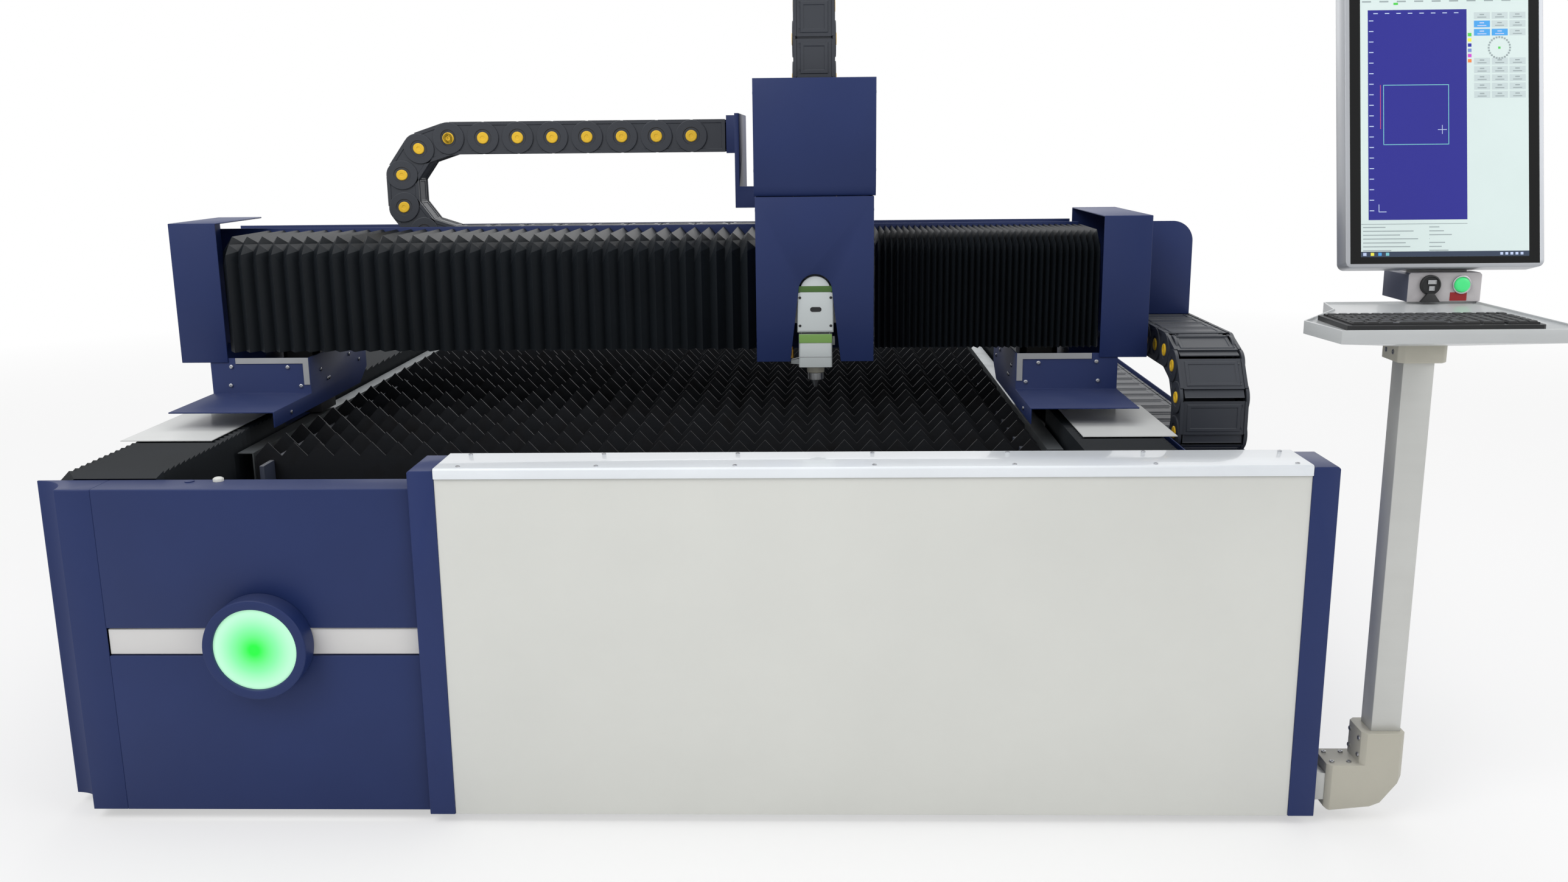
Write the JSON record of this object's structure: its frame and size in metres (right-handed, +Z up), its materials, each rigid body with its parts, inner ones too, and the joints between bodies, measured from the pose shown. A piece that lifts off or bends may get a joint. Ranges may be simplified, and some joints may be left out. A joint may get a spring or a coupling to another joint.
{
  "type": "fiber laser cutting machine",
  "caption": "Gantry laser cutter: slatted bed, covered rails, pleated beam covers, carriage with cutting head, energy chains and a swivelling console.",
  "frame": {"origin": "centre of the whole footprint, on the floor", "axes": "+X to the right across the front, +Y from the front to the back of the bed, +Z up"},
  "size_m": [2.7986, 4.47, 1.7185],
  "materials": {
    "blue_paint": "satin, fine texture",
    "white_paint": "satin",
    "lid_white": "satin",
    "post_paint": "satin",
    "frame_paint": "matt",
    "light_strip": "frosted",
    "lamp_green": "frosted, lit from inside",
    "rail_steel": "ground",
    "slat_steel": "hot-rolled, heat stained",
    "zinc": "galvanised",
    "bellows_cloth": "coated cloth, satin",
    "chain_plastic": "satin",
    "flap_white": "satin",
    "seal_grey": "matt",
    "alu_beam": "extruded",
    "motor_black": "satin",
    "head_white": "satin",
    "nozzle_steel": "knurled",
    "brass_fitting": "plain",
    "console_grey": "satin",
    "cast_grey": "cast, satin",
    "key_black": "matt",
    "housing_grey": "satin",
    "screen_glass": "lit screen",
    "button_metal": "satin",
    "button_green": "lit",
    "box_grey": "satin",
    "socket_black": "matt"
  },
  "bodies": {
    "base": {"bed_frame": "frame_paint", "levelling_feet": "rail_steel", "front_posts": "post_paint", "front_panel": "white_paint", "top_cover": "lid_white", "corner_cover": "blue_paint", "upper_cover": "blue_paint", "lower_cover": "blue_paint", "light_bars": "light_strip", "lamp_bezel": "blue_paint", "lamp_lens": "lamp_green", "body_panels": "blue_paint", "gantry_rails": "rail_steel", "slat_supports": "frame_paint", "slats": "slat_steel", "edge_guards": "zinc", "scrap_tray": "zinc", "bed_chain_lower": "chain_plastic", "console_tubes": "console_grey", "console_elbow": "cast_grey", "front_rail_bellows": "bellows_cloth", "rear_rail_bellows": "bellows_cloth"},
    "gantry": {"gantry_beam": "alu_beam", "rail_blocks": "rail_steel", "gantry_saddles": "blue_paint", "end_covers": "blue_paint", "beam_tray": "blue_paint", "side_brackets": "blue_paint", "seal_strips": "seal_grey", "cover_flaps": "flap_white", "beam_rails": "rail_steel", "gantry_motors": "motor_black", "chain_arm": "blue_paint", "beam_chain_lower": "chain_plastic", "left_beam_bellows": "bellows_cloth", "right_beam_bellows": "bellows_cloth", "bed_chain_upper": "chain_plastic"},
    "carriage": {"carriage_plate": "alu_beam", "lower_z_cover": "blue_paint", "upper_z_cover": "blue_paint", "z_motor": "motor_black", "beam_chain_upper": "chain_plastic", "head_chain": "chain_plastic"},
    "head": {"head_slide": "alu_beam", "head_body": "head_white", "head_lower": "head_white", "nozzle": "nozzle_steel", "head_fittings": "brass_fitting"},
    "console_head": {"console_coupler": "cast_grey", "console_tray": "console_grey", "keyboard": "key_black", "control_box": "box_grey", "button_bezel": "button_metal", "data_socket": "socket_black", "monitor_housing": "housing_grey", "monitor_screen": "screen_glass", "monitor_bracket": "console_grey"},
    "start_button": {"start_button": "button_green"},
    "bed_bend": {"bed_chain_bend": "chain_plastic"},
    "beam_bend": {"beam_chain_bend": "chain_plastic"}
  },
  "joints": [
    {"name": "gantry_slide", "type": "slide", "parent": "base", "child": "gantry", "axis": [0, 1, 0], "range_m": [-0.22, 2.7], "deforming": ["front_rail_bellows", "rear_rail_bellows", "bed_chain_lower", "bed_chain_upper"]},
    {"name": "carriage_slide", "type": "slide", "parent": "gantry", "child": "carriage", "axis": [1, 0, 0], "range_m": [-1.09, 0.37], "deforming": ["left_beam_bellows", "right_beam_bellows", "beam_chain_lower", "beam_chain_upper"]},
    {"name": "head_slide", "type": "slide", "parent": "carriage", "child": "head", "axis": [0, 0, 1], "range_m": [-0.06, 0.09], "deforming": ["head_chain"]},
    {"name": "console_swivel", "type": "hinge", "parent": "base", "child": "console_head", "pos_m": [1.16575, -1.918, 0.892], "axis": [0, 0, 1], "range_deg": [-90, 90]},
    {"name": "start_button", "type": "slide", "parent": "console_head", "child": "start_button", "axis": [0, 1, 0], "range_m": [0, 0.004], "stiffness_N_per_m": 600, "springref_m": -0.001},
    {"name": "bed_chain_travel", "type": "slide", "parent": "base", "child": "bed_bend", "axis": [0, 1, 0], "range_m": [-0.11, 1.35]},
    {"name": "beam_chain_travel", "type": "slide", "parent": "gantry", "child": "beam_bend", "axis": [1, 0, 0], "range_m": [-0.545, 0.185]}
  ],
  "couplings": [
    {"joint": "bed_chain_travel", "follows": "gantry_slide", "ratio": 0.5},
    {"joint": "beam_chain_travel", "follows": "carriage_slide", "ratio": 0.5}
  ]
}
